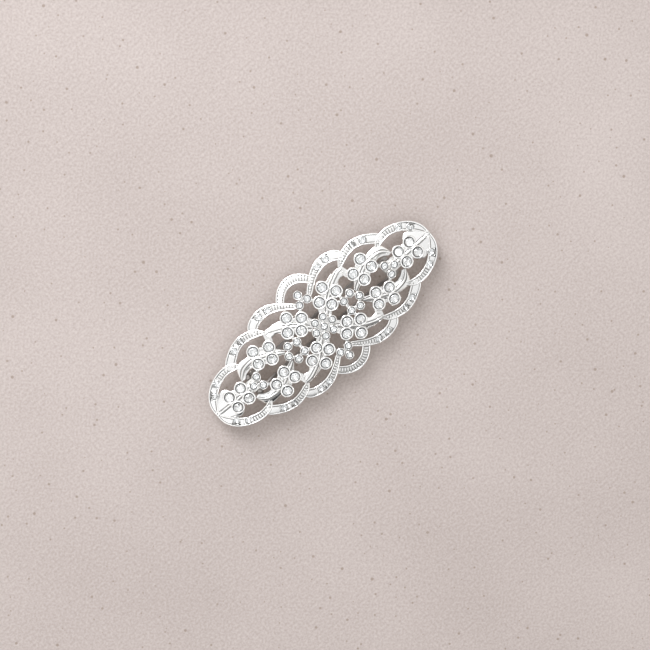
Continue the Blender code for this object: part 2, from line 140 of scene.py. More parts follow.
def smooth_line(points, spacing):
    """A Catmull-Rom line through points of any size, sampled at an even spacing of its first two numbers."""
    rows = [Vector(p) for p in points]
    rows = [2 * rows[0] - rows[1]] + rows + [2 * rows[-1] - rows[-2]]
    fine = []
    for a, b, c, d in zip(rows, rows[1:], rows[2:], rows[3:]):
        for step in range(24):
            t = step / 24
            fine.append(0.5 * (2 * b + (c - a) * t + (2 * a - 5 * b + 4 * c - d) * t ** 2
                               + (3 * b - a - 3 * c + d) * t ** 3))
    fine.append(rows[-2])
    lengths = [0.0]
    for a, b in zip(fine, fine[1:]):
        lengths.append(lengths[-1] + (b.xy - a.xy).length)
    count = max(2, round(lengths[-1] / spacing))
    line = []
    spot = 0
    for step in range(count + 1):
        wanted = lengths[-1] * step / count
        while spot < len(fine) - 2 and lengths[spot + 1] < wanted:
            spot += 1
        share = (wanted - lengths[spot]) / max(lengths[spot + 1] - lengths[spot], 1e-9)
        line.append(fine[spot].lerp(fine[spot + 1], min(share, 1.0)))
    return line, lengths[-1]


def directions(line):
    """Unit direction of a plan line at each of its points."""
    found = []
    for index in range(len(line)):
        step = line[min(index + 1, len(line) - 1)].xy - line[max(index - 1, 0)].xy
        found.append(step.normalized())
    return found


def loft(work, line, section, signs=(1, 1)):
    """Sweeps a closed section along a plan line; section(index) lists (across, height, recess)."""
    rings = [section(index) for index in range(len(line))]
    recess = work.verts.layers.float["recess"]
    count = len(rings[0])
    along = directions(line)
    grid = bmesh.ops.create_grid(work, x_segments=len(line) - 1, y_segments=count, size=1.0)
    for vert in grid["verts"]:
        station = round((vert.co.x + 1) / 2 * (len(line) - 1))
        across, height, vert[recess] = rings[station][round((vert.co.y + 1) / 2 * count) % count]
        middle = line[station]
        side = Vector((-along[station].y, along[station].x)) * across
        vert.co = Vector((signs[0] * (middle.x + side.x), signs[1] * (middle.y + side.y), height))
    bmesh.ops.remove_doubles(work, verts=grid["verts"], dist=1e-4)
    rims = [edge for edge in work.edges if edge.is_boundary]
    bmesh.ops.holes_fill(work, edges=rims, sides=0)


def across_axis(half, flip):
    """Joins a half line, whose first point is on the mirror line, to its own mirror image."""
    return [(flip[0] * p[0], flip[1] * p[1], *p[2:]) for p in half[:0:-1]] + list(half)


def spread(points, copies):
    """Every mirrored copy of plan points, each place once."""
    places = []
    for sign_x, sign_y in copies:
        for x, y in points:
            spot = (round(sign_x * x, 4) + 0.0, round(sign_y * y, 4) + 0.0)
            if spot not in places:
                places.append(spot)
    return places


line, length = smooth_line([(0, 0), (3, 1), (6, 0)], 0.5)
print("a test line", round(length, 2), "mm long has", len(line), "stations")

# %% [markdown]
# ## Scalloped bands
# The border is a chain of bands, each with two bright rims and a sunken channel between them. Part of the
# channel has fine cross ribs, and the rest holds flush stones. A curve with a bevel profile would give an
# even band, but these widen and narrow and the ribs come and go. So a section is lofted along the centre
# line, and its floor rises and falls with the distance along the band.

# %% Plan of the bands, for one quarter
CENTRE_ARCH_HALF = [
    (0.0, 17.6, 1.55), (1.9, 17.3, 1.55), (3.6, 16.5, 1.5), (5.2, 15.2, 1.45), (6.4, 13.7, 1.35),
]
INNER_BAND = [
    (19.1, 12.6, 1.2), (17.7, 14.1, 1.7), (15.9, 15.1, 1.7), (13.2, 15.6, 1.68), (10.2, 15.2, 1.58),
    (7.5, 14.0, 1.35), (5.2, 12.4, 1.15), (3.2, 10.8, 0.98), (2.3, 10.2, 0.68),
]
OUTER_BAND = [
    (32.1, 8.5, 1.2), (30.7, 9.9, 1.7), (28.9, 11.2, 1.7), (26.4, 12.6, 1.6), (23.4, 13.3, 1.53),
    (20.4, 13.0, 1.43), (17.8, 12.0, 1.26), (15.9, 10.7, 0.7),
]
END_BAND_HALF = [
    (44.25, 0.0, 0.7), (43.35, 3.2, 1.3), (41.2, 6.0, 1.55), (38.0, 8.1, 1.5),
    (34.2, 9.15, 1.4), (30.8, 8.7, 1.25), (28.6, 7.3, 0.7),
]
BAND_STONES = [
    [(14.1, 15.38), (10.42, 15.33)],
    [(27.03, 12.23), (23.39, 13.29)],
    [(41.2, 5.3), (38.25, 7.78)],
]
PLATE_UNDERSIDE = -0.6
RIB_PITCH = 0.92
RIB_HEIGHT = 0.34
RIB_SQUARENESS = 2.2
VALLEY_DEPTH = 0.46
CHANNEL_RECESS = 0.72
FADE_HEIGHT = 0.3
RIM_WIDTH = 0.62
FLUSH_DEPTH = 0.1
GROOVE_DEPTH = 0.34
STONE_DEPTH = 0.16
BED_REACH = 1.8
BED_SLOPE = 0.2
SEAT_DEPTH = 0.86
SEAT_REACH = 1.36
BAND_SPACING = 0.115


def band_section(half, top, floor):
    """One band's section, round from the underside: outer wall, rim, channel floor, rim, wall."""
    inner = half - RIM_WIDTH
    # The recess values paint shade: darkest in the groove by each rim and on an open channel floor
    # (CHANNEL_RECESS), less where the floor rises flush, and some on the underside.
    raised = min(1.0, max(0.0, (floor - top + VALLEY_DEPTH) / FADE_HEIGHT))
    low = CHANNEL_RECESS - CHANNEL_RECESS * raised
    groove = min(floor - 0.02, top - GROOVE_DEPTH)
    side = [
        (half - 0.14, PLATE_UNDERSIDE, 0.3), (half - 0.02, -0.46, 0.3), (half, 0.1, 0.0),
        (half - 0.03, top - 0.2, 0.0),
        (half - 0.14, top - 0.05, 0.0), (half - 0.31, top, 0.0), (half - 0.47, top - 0.06, 0.0),
        (inner + 0.06, top - 0.18, 0.5), (max(inner - 0.02, inner * 0.85), groove, 1.0),
        (max(inner - 0.14, inner * 0.6), floor + 0.01, low),
    ]
    middle = [
        (inner * 0.45, floor + 0.04, low), (0.0, floor + 0.05, low), (-inner * 0.45, floor + 0.04, low),
    ]
    under = [
        (-half + 0.34, PLATE_UNDERSIDE, 0.4), (-half + 0.44, -0.5, 0.7), (0.0, -0.47, 0.7),
        (half - 0.44, -0.5, 0.7), (half - 0.34, PLATE_UNDERSIDE, 0.4),
    ]
    return side + middle + [(-across, height, recess) for across, height, recess in side[::-1]] + under


def channel_floor(distance, length, top, ribs, spots):
    """Height of the channel's floor: cross ribs in places, sunk under the stones, and flush elsewhere."""
    for start, end in ribs:
        if start * length <= distance <= end * length:
            wave = 0.5 + 0.5 * math.cos(2 * math.pi * (distance - start * length) / RIB_PITCH)
            return top - VALLEY_DEPTH + RIB_HEIGHT * min(1.0, RIB_SQUARENESS * wave)
    nearest = min((abs(distance - spot) for spot in spots), default=9.0)
    if nearest < SEAT_REACH:
        return top - SEAT_DEPTH
    near = min(1.0, max(0.0, (BED_REACH - nearest) / BED_SLOPE))
    return top - FLUSH_DEPTH - (STONE_DEPTH - FLUSH_DEPTH) * near


def add_band(work, points, top, ribs, stones, signs):
    """One mirrored copy of a band; its channel closes where the band is too narrow to hold one."""
    line, length = smooth_line(points, BAND_SPACING)
    spacing = length / (len(line) - 1)
    spots = [
        spacing * min(range(len(line)), key=lambda index: (line[index].xy - Vector(stone)).length)
        for stone in stones]

    def section(index):
        half = line[index].z
        floor = channel_floor(index * spacing, length, top, ribs, spots)
        open_share = min(1.0, max(0.0, (half - RIM_WIDTH - 0.15) / 0.3))
        return band_section(half, top, top - FLUSH_DEPTH + (floor - top + FLUSH_DEPTH) * open_share)

    loft(work, line, section, signs)
    return length


work = new_work()
end_band = across_axis(END_BAND_HALF, (1, -1))
centre_arch = across_axis(CENTRE_ARCH_HALF, (-1, 1))
layouts = [
    (centre_arch, 0.42, [(0.02, 0.98)], [], SIDES),
    (INNER_BAND, 0.52, [(0.56, 0.98)], BAND_STONES[0], QUARTERS),
    (OUTER_BAND, 0.62, [(0.56, 0.98)], BAND_STONES[1], QUARTERS),
    (end_band, 0.72, [(0.02, 0.23), (0.77, 0.98)], spread(BAND_STONES[2], SIDES), ENDS),
]
for points, top, ribs, stones, copies in layouts:
    for signs in copies:
        length = add_band(work, points, top, ribs, stones, signs)
    print("band", round(length, 1), "mm long,", len(copies), "copies")
bands = finish_piece(work, "plate_bands", "plate", "silver_plate", bend=True)
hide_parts("filigree_plate")

# %% [markdown]
# ## Leaves
# Between the bands lie ten leaves. Each is a smooth polished blade with two engraved lines along its
# middle, and it carries four stone cups. A blade is lofted like a band, but its section has a left and a
# right width of its own, and its crown has two narrow grooves. The thin webs that tie cups and blades
# together are flat outlines given a thickness.

# %% Blades with engraved lines
INNER_BLADE = [
    (16.1, 10.0, 1.1, 0.5), (15.1, 10.15, 2.2, 0.9), (13.9, 9.95, 2.1, 1.3), (12.6, 9.45, 1.65, 1.45),
    (10.35, 8.4, 1.8, 1.5), (8.45, 7.1, 1.5, 1.4), (6.7, 5.8, 1.3, 1.3), (4.95, 4.2, 1.2, 1.2),
    (3.1, 2.3, 0.9, 0.9),
]
OUTER_BLADE = [
    (31.35, 3.35, 0.25, 0.2), (30.35, 4.75, 0.7, 1.2), (28.6, 6.05, 1.1, 2.3), (26.0, 6.5, 1.55, 2.0),
    (23.8, 6.35, 1.7, 1.7), (21.3, 5.5, 1.7, 1.6), (19.2, 4.4, 1.5, 1.5), (17.2, 3.2, 1.2, 1.2),
    (14.9, 1.85, 0.6, 0.6),
]
END_BLADE = [
    (44.75, 0.0, 0.3, 0.3), (43.6, 0.0, 2.0, 2.0), (42.0, 0.0, 3.7, 3.7), (40.0, 0.0, 4.8, 4.8),
    (38.4, 0.0, 5.1, 5.1), (37.0, 0.0, 4.3, 4.3), (35.8, 0.0, 3.0, 3.0), (33.0, 0.0, 2.9, 2.9),
    (30.2, 0.0, 0.9, 0.9),
]
BLADE_TOP = 0.78
ENGRAVED_DEPTH = 0.34
RIDGE_ROOM = 0.95
BLADE_SPACING = 0.22


def blade_section(left, right, share):
    """A blade's section with two engraved lines; share runs from 0 at the tip to 1 at the base."""
    top = BLADE_TOP - 0.35 * max(0.0, share - 0.35)
    groove = ENGRAVED_DEPTH * min(1.0, 8 * share)
    narrow = min(1.0, left / RIDGE_ROOM, right / RIDGE_ROOM)
    slope = 0.55 * top + 0.1
    # The engraved lines get recess 1, so painted shade darkens them; the edges and the underside get a
    # little.
    half_ridge = [
        (0.78, top - 0.1, 0.0), (0.7, top - 0.08, 0.1), (0.57, top - groove, 1.0), (0.38, top - groove, 1.0),
        (0.24, top - 0.03, 0.1),
    ]
    other_half = [(-across, height, recess) for across, height, recess in half_ridge[::-1]]
    ridge = half_ridge + [(0.0, top, 0.0)] + other_half
    return (
        [(left, 0.02, 0.3), (left * 0.93, 0.22, 0.1), (max(left * 0.72, 0.88 * narrow), slope, 0.0)]
        + [(across * narrow, height, recess) for across, height, recess in ridge]
        + [(-max(right * 0.72, 0.88 * narrow), slope, 0.0), (-right * 0.93, 0.22, 0.1), (-right, 0.02, 0.3)]
        + [(-right * 0.9, -0.48, 0.3), (0.0, -0.44, 0.3), (left * 0.9, -0.48, 0.3)])


work = new_work()
for rows, copies in ((INNER_BLADE, QUARTERS), (OUTER_BLADE, QUARTERS), (END_BLADE, ENDS)):
    for signs in copies:
        line, length = smooth_line(rows, BLADE_SPACING)
        last = len(line) - 1
        loft(work, line, lambda index: blade_section(line[index][2], line[index][3], index / last), signs)
    print("blade", round(length, 1), "mm long")
blades = finish_piece(work, "plate_leaf_blades", "plate", "silver_plate", bend=True, smooth_angle=60)
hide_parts("filigree_plate")

# %% [markdown]
# ## Webs, links and the rosette disc
# Under the blades and cups runs a thin sheet of metal that holds them together. Each part of it is a flat
# outline: a single face, cut across every two millimetres so that it can follow the dome, then extruded
# down and given a softly rounded top rim, as a casting has.

# %% Flat outlines with a thickness
INNER_WEB = [
    (15.7, 10.6), (14.0, 10.95), (12.3, 10.95), (10.2, 10.4), (7.48, 9.55), (3.79, 6.62),
    (2.0, 5.3), (1.5, 4.2), (1.64, 2.64), (4.3, 1.2), (6.36, 3.68), (10.16, 5.98),
    (11.9, 6.3), (12.4, 7.4), (13.2, 8.2), (14.3, 8.5), (15.6, 8.1),
]
OUTER_WEB = [
    (31.4, 3.3), (30.3, 5.2), (28.9, 6.7), (27.1, 7.7), (25.1, 8.2), (22.51, 8.31),
    (20.1, 8.0), (17.71, 6.33), (15.9, 3.8), (14.6, 2.4), (15.6, 1.2), (17.2, 2.5),
    (19.33, 2.84), (21.7, 2.45), (23.71, 4.43), (25.7, 4.5), (27.0, 4.8), (28.9, 4.2), (30.2, 3.2),
]
END_WEB_HALF = [
    (44.6, 0.0), (43.8, 2.0), (41.8, 3.9), (39.8, 4.2), (37.8, 3.4),
    (35.5, 2.9), (33.2, 3.2), (31.3, 1.7), (29.6, 0.8),
]
BRIDGE = [(16.6, 10.9), (15.2, 11.0), (14.9, 9.0), (15.3, 7.2), (16.2, 5.9), (17.7, 6.33), (17.2, 8.6)]
ROSETTE_DISC = [(3.29, 0.0), (1.64, 2.64), (-1.64, 2.64), (-3.29, 0.0), (-1.64, -2.64), (1.64, -2.64)]
TREFOIL_WEB = [(0.0, 12.66), (-1.62, 9.95), (1.62, 9.95)]
LINKS = [
    ((9.84, 1.9), (12.97, 2.63)), ((12.97, 2.63), (14.81, 0.0)), ((9.84, 1.9), (6.36, 3.68)),
    ((9.84, 1.9), (10.16, 5.98)), ((29.55, 0.0), (26.95, 1.73)), ((26.95, 1.73), (23.71, 4.43)),
    ((1.62, 9.95), (3.79, 6.62)),
]
WEB_THICK = 0.72
WEB_ROUND = 0.14
# The webs and links lie low between the cups, so their recess values paint a light shade over them.
WEB_RECESS = 0.2
CUT_STEP = 2.0
CUT_SHIFT = 0.013
LINK_RECESS = 0.3


def add_copy(work, part, matrix=None):
    """Adds a copy of one bmesh to another, turned and moved by a matrix."""
    shape = bpy.data.meshes.new("part")
    part.to_mesh(shape)
    before = len(work.verts)
    work.from_mesh(shape)
    bpy.data.meshes.remove(shape)
    if matrix:
        work.verts.ensure_lookup_table()
        bmesh.ops.transform(work, matrix=matrix, verts=work.verts[before:])


def add_web(work, outline, top, signs):
    """One flat outline as a thin solid with a rounded top rim, in its own bmesh and then copied across."""
    part = new_work()
    corners = [part.verts.new((signs[0] * x, signs[1] * y, top)) for x, y in outline]
    face = part.faces.new(corners)
    face.normal_update()
    if face.normal.z < 0:
        face.normal_flip()
    down = bmesh.ops.extrude_face_region(part, geom=[face])
    moved = [item for item in down["geom"] if isinstance(item, bmesh.types.BMVert)]
    bmesh.ops.translate(part, verts=moved, vec=(0, 0, -WEB_THICK))
    bmesh.ops.recalc_face_normals(part, faces=part.faces)
    rim = [edge for edge in part.edges if all(vert.co.z > top - 1e-4 for vert in edge.verts)]
    bmesh.ops.bevel(
        part, geom=rim, offset=WEB_ROUND, affect="EDGES", segments=2, profile=0.5, material=-1,
        clamp_overlap=True)
    for axis in (0, 1):
        values = [vert.co[axis] for vert in part.verts]
        cut = math.ceil(min(values) / CUT_STEP) * CUT_STEP
        while cut < max(values):
            spot, normal = [0.0, 0.0, 0.0], [0.0, 0.0, 0.0]
            spot[axis], normal[axis] = cut + CUT_SHIFT, 1.0
            bmesh.ops.bisect_plane(
                part, geom=part.verts[:] + part.edges[:] + part.faces[:], plane_co=spot, plane_no=normal)
            cut += CUT_STEP
    recess = part.verts.layers.float["recess"]
    for vert in part.verts:
        vert[recess] = WEB_RECESS
    add_copy(work, part)
    part.free()


def add_link(work, start, end, signs, raised):
    """A short round-topped rod between two cups."""
    line, length = smooth_line([(*start, 0), (*end, 0)], 0.8)
    section = [
        (0.52, -0.44), (0.55, -0.2), (0.48, 0.04), (0.26, 0.17), (0.0, 0.2),
        (-0.26, 0.17), (-0.48, 0.04), (-0.55, -0.2), (-0.52, -0.44),
    ]
    ring = [(across, height + raised, LINK_RECESS) for across, height in section]
    loft(work, line, lambda index: ring, signs)


work = new_work()
end_web = across_axis(END_WEB_HALF, (1, -1))
for outline, top, copies in (
    (INNER_WEB, 0.2, QUARTERS), (OUTER_WEB, 0.17, QUARTERS), (end_web, 0.14, ENDS),
    (BRIDGE, 0.11, QUARTERS), (ROSETTE_DISC, 0.08, [(1, 1)]), (TREFOIL_WEB, 0.05, SIDES),
):
    for signs in copies:
        add_web(work, outline, top, signs)
for index, (start, end) in enumerate(LINKS):
    for signs in QUARTERS:
        add_link(work, start, end, signs, 0.01 * index)
for signs in ENDS:
    add_link(work, (9.84, 1.9), (9.84, -1.9), signs, 0.08)
webs = finish_piece(work, "plate_webs", "plate", "silver_plate", bend=True)
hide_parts("filigree_plate")

# %% [markdown]
# ## Stone cups
# Every stone sits in a little turned cup with a thick, rounded lip. A cup could be a cylinder with a hole,
# but the lip is what catches the light, so its profile is drawn and spun right round, with the last step
# merged into the first. One spun cup is copied to all the places, each turned square to the dome.

# %% Spin the cups
LEAF_CUPS = {
    "inner_leaf": [(7.48, 9.55), (3.79, 6.62), (10.16, 5.98), (6.36, 3.68)],
    "outer_leaf": [(22.51, 8.31), (17.71, 6.33), (23.71, 4.43), (19.33, 2.84)],
    "end_leaf": [(33.2, 2.05), (37.82, 2.08)],
}
ROSETTE_CUPS = [(0.0, 0.0), (3.29, 0.0), (1.64, 2.64)]
SMALL_CUPS = [
    (9.84, 1.9), (12.97, 2.63), (14.81, 0.0), (29.55, 0.0), (26.95, 1.73), (0.0, 12.66), (1.62, 9.95),
]
CUP_TOP = 1.05
LIP_SHARE = 0.235
BIG_CUP = 2.22
SMALL_CUP = 1.52
BIG_RADIUS = 1.4
SMALL_RADIUS = 0.95
BAND_STONE_RADIUS = 1.02


def cup_profile(outer, stone):
    """Cup profile from the axis underneath, round the outside and over the lip, to the axis inside."""
    # Its recess values paint shade inside the cup round the stone and under the cup; the lip stays bright.
    lip = LIP_SHARE * outer
    return [
        (0.0, -0.4, 0.8), (outer * 0.5, -0.42, 0.8), (outer * 0.6, -0.55, 0.4),
        (outer * 0.82, -0.57, 0.3), (outer * 0.93, -0.46, 0.3), (outer * 0.95, 0.2, 0.7),
        (outer, 0.45, 0.3), (outer, CUP_TOP - 0.2, 0.0),
        (outer - 0.2 * lip, CUP_TOP - 0.07, 0.0), (outer - 0.45 * lip, CUP_TOP, 0.0),
        (outer - 0.75 * lip, CUP_TOP - 0.02, 0.0), (outer - lip, CUP_TOP - 0.14, 0.9),
        (stone + 0.05, CUP_TOP - 0.34, 1.0), (stone * 0.97, 0.7, 1.0), (stone * 0.55, 0.05, 1.0),
        (0.0, -0.2, 1.0),
    ]


def spun(profile, steps):
    """A turned bmesh about Z from (radius, height, recess) points that start and end on the axis."""
    work = new_work()
    recess = work.verts.layers.float["recess"]
    corners = [work.verts.new((radius, 0.0, height)) for radius, height, _ in profile]
    for vert, (_, _, value) in zip(corners, profile):
        vert[recess] = value
    edges = [work.edges.new(pair) for pair in zip(corners, corners[1:])]
    bmesh.ops.spin(
        work, geom=corners + edges, cent=(0, 0, 0), axis=(0, 0, 1), angle=2 * math.pi, steps=steps,
        use_merge=True)
    bmesh.ops.remove_doubles(work, verts=work.verts, dist=1e-5)
    return work


def square_to_dome(x, y, height=0.0):
    """Turns and moves a piece made about the origin so that it stands square on the dome."""
    turn = Vector((0, 0, 1)).rotation_difference(dome_normal(x, y)).to_matrix().to_4x4()
    return Matrix.Translation(on_dome(x, y, height)) @ turn


big_places = {name: spread(points, QUARTERS) for name, points in LEAF_CUPS.items()}
rosette_places = spread(ROSETTE_CUPS, QUARTERS)
small_places = spread(SMALL_CUPS, QUARTERS)
work = new_work()
big_cup = spun(cup_profile(BIG_CUP, BIG_RADIUS), 32)
small_cup = spun(cup_profile(SMALL_CUP, SMALL_RADIUS), 24)
for x, y in [place for places in big_places.values() for place in places]:
    add_copy(work, big_cup, square_to_dome(x, y))
for x, y in rosette_places + small_places:
    add_copy(work, small_cup, square_to_dome(x, y))
cups = finish_piece(work, "plate_cups", "plate", "silver_plate")
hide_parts("filigree_plate")
print(sum(len(places) for places in big_places.values()), "big cups and",
      len(rosette_places + small_places), "small ones")

# %% [markdown]
# ## Flush seats in the bands
# The band stones don't stand in cups. The caster drills a seat in the channel and leaves four small beads
# of metal at its corners, which are pushed over the stone. A low collar and four beads give that look.

# %% Collars and beads
BAND_TOPS = [0.52, 0.62, 0.72]
BAND_LINES = [smooth_line(points, 0.3)[0] for points in (INNER_BAND, OUTER_BAND, END_BAND_HALF)]
COLLAR_SINK = 0.06
BEAD_RADIUS = 0.15
BEAD_SINK = 0.12
BEAD_AHEAD = 1.18
BEAD_BESIDE = 0.78


def collar_profile(stone):
    """A low collar's profile, with heights over the girdle."""
    # Its recess values paint shade in the seat round the stone and under the collar; the top of the collar
    # stays bright.
    return [
        (0.0, -0.92, 0.8), (stone + 0.34, -0.92, 0.8), (stone + 0.34, -0.1, 0.6),
        (stone + 0.31, 0.04, 0.0), (stone + 0.24, 0.07, 0.0), (stone + 0.17, 0.0, 0.9),
        (stone + 0.03, -0.2, 1.0), (stone * 0.98, -0.3, 1.0), (stone * 0.35, -0.88, 1.0),
        (0.0, -0.88, 1.0),
    ]


def band_direction(line, x, y):
    """Direction of a band beside a plan point."""
    nearest = min(range(len(line)), key=lambda index: (line[index].xy - Vector((x, y))).length)
    return directions(line)[nearest]


work = new_work()
band_places = []
collar = spun(collar_profile(BAND_STONE_RADIUS), 20)
bead = bmesh.new()
bmesh.ops.create_icosphere(bead, subdivisions=2, radius=BEAD_RADIUS)
for points, top, line in zip(BAND_STONES, BAND_TOPS, BAND_LINES):
    for x, y in points:
        along = band_direction(line, x, y)
        for signs in QUARTERS:
            spot = (signs[0] * x, signs[1] * y)
            band_places.append((*spot, top))
            add_copy(work, collar, square_to_dome(*spot, top - COLLAR_SINK))
            turn = Vector((signs[0] * along.x, signs[1] * along.y))
            side = Vector((-turn.y, turn.x))
            for ahead, beside in QUARTERS:
                corner = Vector(spot) + turn * ahead * BEAD_AHEAD + side * beside * BEAD_BESIDE
                add_copy(work, bead, square_to_dome(*corner, top - BEAD_SINK))
seats = finish_piece(work, "plate_band_seats", "plate", "silver_plate")
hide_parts("filigree_plate")
print(len(band_places), "flush seats")

# %% [markdown]
# ## The stones
# Each stone is a round brilliant: a flat table, a ring of kite and star facets, a thin girdle, and a
# pointed pavilion with foil behind it. Its corner points are enough to define it, since a cut stone is
# convex: the convex hull operator joins them up, and every flat facet comes out by itself. The crown is
# clear glass and the pavilion faces are mirror foil, so light comes in, bounces between the foil faces and
# leaves again.

# %% Cut a stone
CROWN_SHARE = 0.33
TABLE_SHARE = 0.56
STAR_SHARE = 0.8
LOWER_SHARE = 0.45
PAVILION_SLOPE = 0.8
CUP_DEPTH = 0.7
BAND_DEPTH = 0.6
GIRDLE_HALF = 0.03
GIRDLE_HEIGHT = 0.95


def ring_points(radius, height, count, offset=0.0):
    """Evenly spaced points on a circle; offset is a share of one step."""
    angles = [2 * math.pi * (step + offset) / count for step in range(count)]
    return [(radius * math.cos(angle), radius * math.sin(angle), height) for angle in angles]


def cut_stone(radius, depth):
    """A brilliant about the middle of its girdle, with clear faces in slot 0 and foil faces in slot 1.

    The pavilion's point is cut off flat at the depth, where the metal of the setting begins.
    """
    slope = CROWN_SHARE / (1 - TABLE_SHARE)
    star = STAR_SHARE * radius
    lower = LOWER_SHARE * radius
    eighth = math.cos(math.pi / 8)
    points = ring_points(TABLE_SHARE * radius, CROWN_SHARE * radius + GIRDLE_HALF, 8)
    points += ring_points(star, (radius - star * eighth) * slope + GIRDLE_HALF, 8, 0.5)
    points += ring_points(radius, GIRDLE_HALF, 16) + ring_points(radius, -GIRDLE_HALF, 16)
    culet = max(0.05, radius - depth / PAVILION_SLOPE)
    if lower > culet + 0.1:
        points += ring_points(lower, (lower * eighth - radius) * PAVILION_SLOPE - GIRDLE_HALF, 8, 0.5)
    points += ring_points(culet, (culet - radius) * PAVILION_SLOPE - GIRDLE_HALF, 8)
    work = bmesh.new()
    corners = [work.verts.new(point) for point in points]
    bmesh.ops.convex_hull(work, input=corners)
    bmesh.ops.dissolve_limit(work, angle_limit=math.radians(0.5), verts=work.verts, edges=work.edges)
    for face in work.faces:
        face.material_index = 1 if face.calc_center_median().z < -GIRDLE_HALF else 0
    return work


stones = []


def set_stones(name, radius, depth, places, nodes):
    """One piece of cut stones at (x, y, girdle height, turn) places; it stands for the CAD nodes named."""
    cut = cut_stone(radius, depth)
    work = bmesh.new()
    for x, y, height, turn in places:
        add_copy(work, cut, square_to_dome(x, y, height) @ Matrix.Rotation(turn, 4, "Z"))
    piece = finish_piece(work, name, "plate", "crystal", smooth_angle=1)
    if nodes:
        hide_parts(*nodes)
    stones.append(piece)
    cut.free()


draw = random.Random(7)
for leaf, places in [*big_places.items(), ("rosette", rosette_places)]:
    radius = SMALL_RADIUS if leaf == "rosette" else BIG_RADIUS
    for number, (x, y) in enumerate(places, start=1):
        node = f"{leaf}_stone_{number:02d}"
        seat = (x, y, GIRDLE_HEIGHT, draw.uniform(0, math.pi))
        set_stones(f"{node}_cut", radius, CUP_DEPTH, [seat], [node])
accent_seats = [(x, y, GIRDLE_HEIGHT, draw.uniform(0, math.pi)) for x, y in small_places]
set_stones("accent_stones", SMALL_RADIUS, CUP_DEPTH, accent_seats, [])
band_seats = [(x, y, top - STONE_DEPTH, draw.uniform(0, math.pi)) for x, y, top in band_places]
set_stones("band_stones", BAND_STONE_RADIUS, BAND_DEPTH, band_seats, [])
print(len(stones), "stone pieces")

# %% [markdown]
# ## The clasp
# The clasp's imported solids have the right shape, but stamped and sawn metal never has a knife edge. Instead
# of drawing each part again, its mesh is copied, its loose triangles are welded and its flat faces joined,
# and every sharp edge gets a small round bevel. A bevel only takes metal away, so the moving parts keep
# their room.

# %% Round the clasp's edges
CLASP = [
    ("hinge_bracket", "plate", "bracket_plate", 0.1), ("hinge_pin", "plate", "spring_steel", 0.07),
    ("clasp_bail", "bail", "spring_steel", 0.16), ("catch_bracket", "plate", "bracket_plate", 0.1),
    ("catch_leaf", "plate", "spring_steel", 0.08), ("catch_hook", "catch", "spring_steel", 0.07),
    ("catch_rivet_1", "plate", "bracket_plate", 0.05), ("catch_rivet_2", "plate", "bracket_plate", 0.05),
]
WELD_REACH = 0.002
SHARP_ANGLE = 34


def rounded_copy(node, body, slot, bevel):
    """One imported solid's mesh with its sharp edges rounded, as the piece that stands for it."""
    work = new_work()
    work.from_mesh(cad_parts[node].data)
    bmesh.ops.scale(work, vec=(1 / MM,) * 3, verts=work.verts)
    bmesh.ops.remove_doubles(work, verts=work.verts, dist=WELD_REACH)
    bmesh.ops.dissolve_limit(work, angle_limit=math.radians(1), verts=work.verts, edges=work.edges)
    least = math.radians(SHARP_ANGLE)
    sharp = [edge for edge in work.edges if edge.is_manifold and edge.calc_face_angle() > least]
    bmesh.ops.bevel(
        work, geom=sharp, offset=bevel, affect="EDGES", segments=3, profile=0.5, material=-1,
        clamp_overlap=True)
    piece = finish_piece(work, f"{node}_finished", body, slot)
    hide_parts(node)


for row in CLASP:
    rounded_copy(*row)
print(len(CLASP), "clasp pieces")

# %% [markdown]
# ## Solder
# The two feet of the clasp are soft-soldered to the underside of the casting, and a little of the solder
# runs out and sets as a low, rounded drop. A squashed sphere half sunk in the metal has the same outline,
# so one is made and copied to each place where solder would show.

# %% Solder at the brackets
SOLDER_SPOTS = [(32.4, 0.95), (26.1, 1.75)]
DROP_RADIUS = 0.62
DROP_SHAPE = (1.0, 1.25, 0.55)

drop = bmesh.new()
bmesh.ops.create_uvsphere(drop, u_segments=20, v_segments=12, radius=DROP_RADIUS)
bmesh.ops.scale(drop, vec=DROP_SHAPE, verts=drop.verts)
work = new_work()
solder_places = spread(SOLDER_SPOTS, QUARTERS)
for x, y in solder_places:
    add_copy(work, drop, square_to_dome(x, y, PLATE_UNDERSIDE))
drop.free()
finish_piece(work, "bracket_solder", "plate", "bracket_plate")
print(len(solder_places), "drops of solder")

# %% [markdown]
# ## Plating wear and painted shade
# All the metal shares one effect: a cloudy variation in the polish, fine scuffs, and a darker colour where
# the recess attribute is high, which is painted shade in the hollows. It is built once as a node group. Each
# material places it with its own colours and scales, and keeps its own shader.

# %% A node group for polished, worn plating with painted shade in its recesses
def new_group(name, inputs, outputs):
    """An empty shader node group with its sockets, and its input and output nodes."""
    group = bpy.data.node_groups.new(name, "ShaderNodeTree")
    for label, kind, value in inputs:
        socket = group.interface.new_socket(name=label, in_out="INPUT", socket_type=kind)
        socket.default_value = value
    for label, kind in outputs:
        group.interface.new_socket(name=label, in_out="OUTPUT", socket_type=kind)
    return group, group.nodes.new("NodeGroupInput"), group.nodes.new("NodeGroupOutput")


def add_node(tree, kind, links, **settings):
    """Adds a node; links maps an input to a value or to another node's output."""
    node = tree.nodes.new(kind)
    for key, value in settings.items():
        setattr(node, key, value)
    for key, value in links.items():
        if isinstance(value, bpy.types.NodeSocket):
            tree.links.new(value, node.inputs[key])
        else:
            node.inputs[key].default_value = value
    return node


